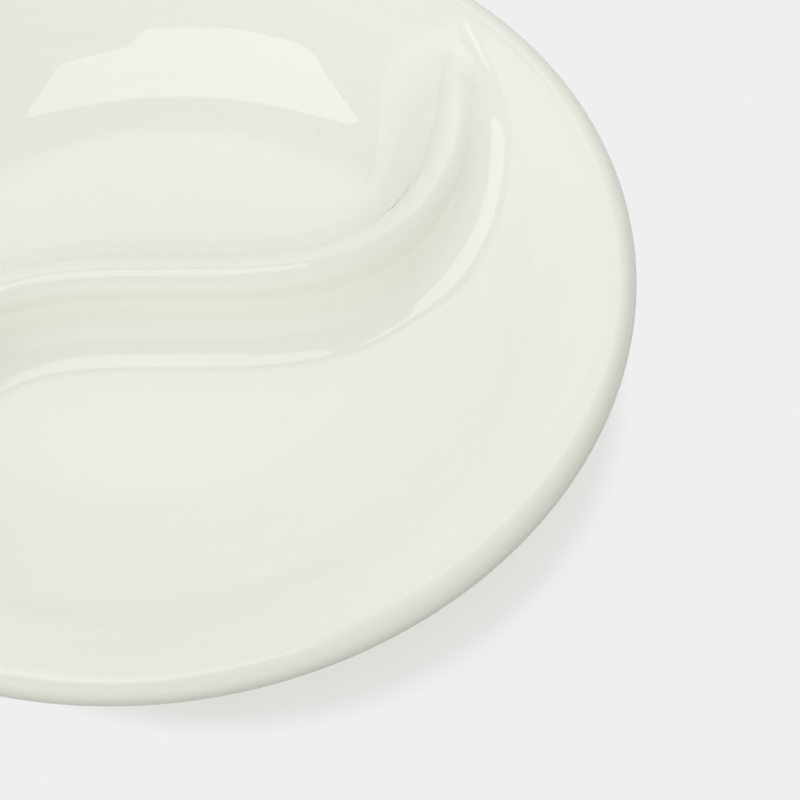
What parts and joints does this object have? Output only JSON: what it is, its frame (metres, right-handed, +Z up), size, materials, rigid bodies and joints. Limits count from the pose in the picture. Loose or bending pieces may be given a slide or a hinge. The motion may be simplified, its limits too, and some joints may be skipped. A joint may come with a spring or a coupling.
{
  "type": "divided plate",
  "caption": "Round glazed ceramic plate with a low rounded lip and an S-shaped wall that parts it into matching compartments, on a bare foot ring.",
  "frame": {"origin": "on the table, under the middle of the plate", "axes": "+Z up, the divider runs roughly along X and the picture looks along +Y and down"},
  "size_m": [0.22, 0.22, 0.031],
  "materials": {
    "clay": "bare fired clay, matte",
    "glaze": "glossy ivory-white glaze"
  },
  "bodies": {
    "root": {"dish_body": "clay", "divider_wall": "clay", "foot_ring": "clay", "glaze_coat": "glaze", "foot_well_glaze": "glaze"}
  },
  "joints": []
}
